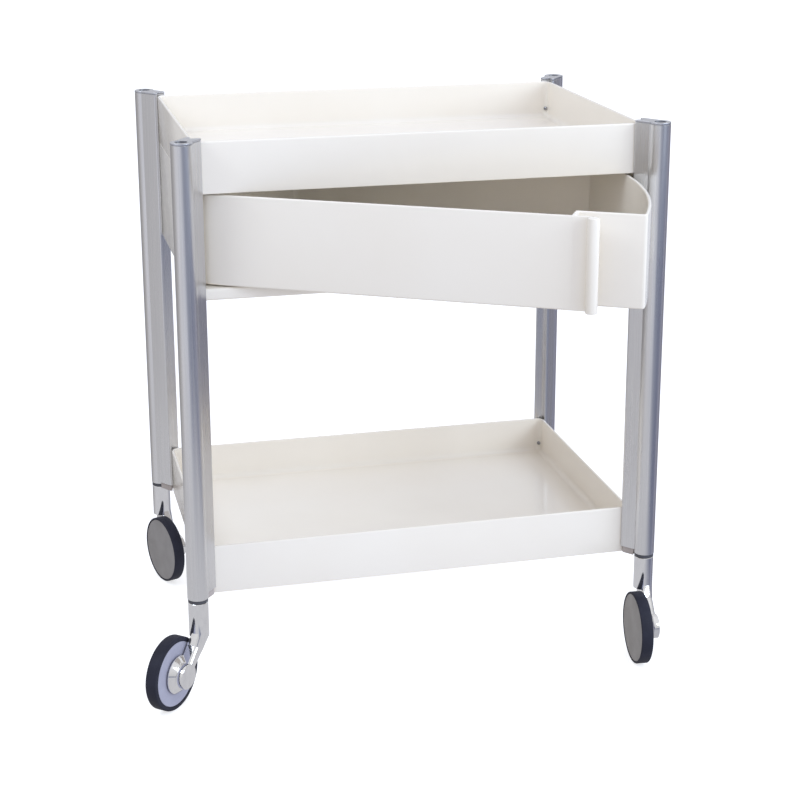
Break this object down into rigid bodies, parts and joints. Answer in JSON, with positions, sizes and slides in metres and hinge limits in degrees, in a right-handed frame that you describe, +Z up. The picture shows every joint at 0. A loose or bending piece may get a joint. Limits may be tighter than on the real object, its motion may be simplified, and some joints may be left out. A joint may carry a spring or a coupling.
{
  "type": "rolling salon trolley",
  "caption": "Rolling trolley with two open trays on upright aluminium posts, a drawer that swings out below the top tray, and single-arm swivel casters.",
  "frame": {"origin": "on the floor, under the middle of the whole trolley's bounding box with the drawer part open", "axes": "+Z up, +X to the trolley's right seen from its front, -Y out of its front"},
  "size_m": [0.73, 0.6814, 0.756],
  "materials": {
    "cast_white": "glossy warm white",
    "panel_white": "glossy warm white",
    "aluminium": "satin anodised",
    "cap_grey": "satin",
    "block_beige": "moulded",
    "steel": "plated",
    "nylon": "moulded nylon",
    "collar_black": "moulded",
    "chrome": "polished",
    "disc_lavender": "moulded",
    "cover_grey": "moulded",
    "tyre_black": "matte"
  },
  "bodies": {
    "frame": {"top_tray": "cast_white", "lower_tray": "cast_white", "screw_top_front_left": "steel", "screw_top_front_right": "steel", "screw_top_back_left": "steel", "screw_top_back_right": "steel", "screw_lower_front_left": "steel", "screw_lower_front_right": "steel", "screw_lower_back_left": "steel", "screw_lower_back_right": "steel", "post_front_left": "aluminium", "post_cap_front_left": "cap_grey", "corner_block_front_left": "block_beige", "collar_front_left": "collar_black", "post_front_right": "aluminium", "post_cap_front_right": "cap_grey", "corner_block_front_right": "block_beige", "collar_front_right": "collar_black", "post_back_left": "aluminium", "post_cap_back_left": "cap_grey", "corner_block_back_left": "block_beige", "collar_back_left": "collar_black", "post_back_right": "aluminium", "post_cap_back_right": "cap_grey", "corner_block_back_right": "block_beige", "collar_back_right": "collar_black", "drawer_shelf": "cast_white", "side_panel_left": "panel_white", "side_panel_right": "panel_white", "back_panel": "panel_white", "pivot_rod": "steel", "pivot_washer_lower": "nylon", "pivot_washer_upper": "nylon", "glide_front": "nylon", "glide_middle": "nylon", "glide_side": "nylon"},
    "drawer": {"drawer": "cast_white"},
    "caster_front_left": {"caster_leg_front_left": "chrome", "axle_front_left": "steel"},
    "wheel_front_left": {"wheel_disc_front_left": "disc_lavender", "wheel_cover_front_left": "cover_grey", "tyre_front_left": "tyre_black"},
    "caster_front_right": {"caster_leg_front_right": "chrome", "axle_front_right": "steel"},
    "wheel_front_right": {"wheel_disc_front_right": "disc_lavender", "wheel_cover_front_right": "cover_grey", "tyre_front_right": "tyre_black"},
    "caster_back_left": {"caster_leg_back_left": "chrome", "axle_back_left": "steel"},
    "wheel_back_left": {"wheel_disc_back_left": "disc_lavender", "wheel_cover_back_left": "cover_grey", "tyre_back_left": "tyre_black"},
    "caster_back_right": {"caster_leg_back_right": "chrome", "axle_back_right": "steel"},
    "wheel_back_right": {"wheel_disc_back_right": "disc_lavender", "wheel_cover_back_right": "cover_grey", "tyre_back_right": "tyre_black"}
  },
  "joints": [
    {"name": "drawer_swing", "type": "hinge", "parent": "frame", "child": "drawer", "pos_m": [-0.24136, -0.0693, 0.622], "axis": [0, 0, 1], "range_deg": [-50, 29.5]},
    {"name": "swivel_front_left", "type": "hinge", "parent": "frame", "child": "caster_front_left", "pos_m": [-0.28636, -0.1193, 0.14], "axis": [0, 0, 1], "continuous": true},
    {"name": "spin_front_left", "type": "hinge", "parent": "caster_front_left", "child": "wheel_front_left", "pos_m": [-0.31375, -0.15114, 0.05], "axis": [0.7581, -0.6521, 0], "continuous": true},
    {"name": "swivel_front_right", "type": "hinge", "parent": "frame", "child": "caster_front_right", "pos_m": [0.34364, -0.1193, 0.14], "axis": [0, 0, 1], "continuous": true},
    {"name": "spin_front_right", "type": "hinge", "parent": "caster_front_right", "child": "wheel_front_right", "pos_m": [0.3402, -0.16116, 0.05], "axis": [0.9966, -0.0819, 0], "continuous": true},
    {"name": "swivel_back_left", "type": "hinge", "parent": "frame", "child": "caster_back_left", "pos_m": [-0.28636, 0.3267, 0.14], "axis": [0, 0, 1], "continuous": true},
    {"name": "spin_back_left", "type": "hinge", "parent": "caster_back_left", "child": "wheel_back_left", "pos_m": [-0.27193, 0.28726, 0.05], "axis": [0.9391, 0.3437, 0], "continuous": true},
    {"name": "swivel_back_right", "type": "hinge", "parent": "frame", "child": "caster_back_right", "pos_m": [0.34364, 0.3267, 0.14], "axis": [0, 0, 1], "continuous": true},
    {"name": "spin_back_right", "type": "hinge", "parent": "caster_back_right", "child": "wheel_back_right", "pos_m": [0.35237, 0.28562, 0.05], "axis": [0.9781, 0.2079, 0], "continuous": true}
  ]
}
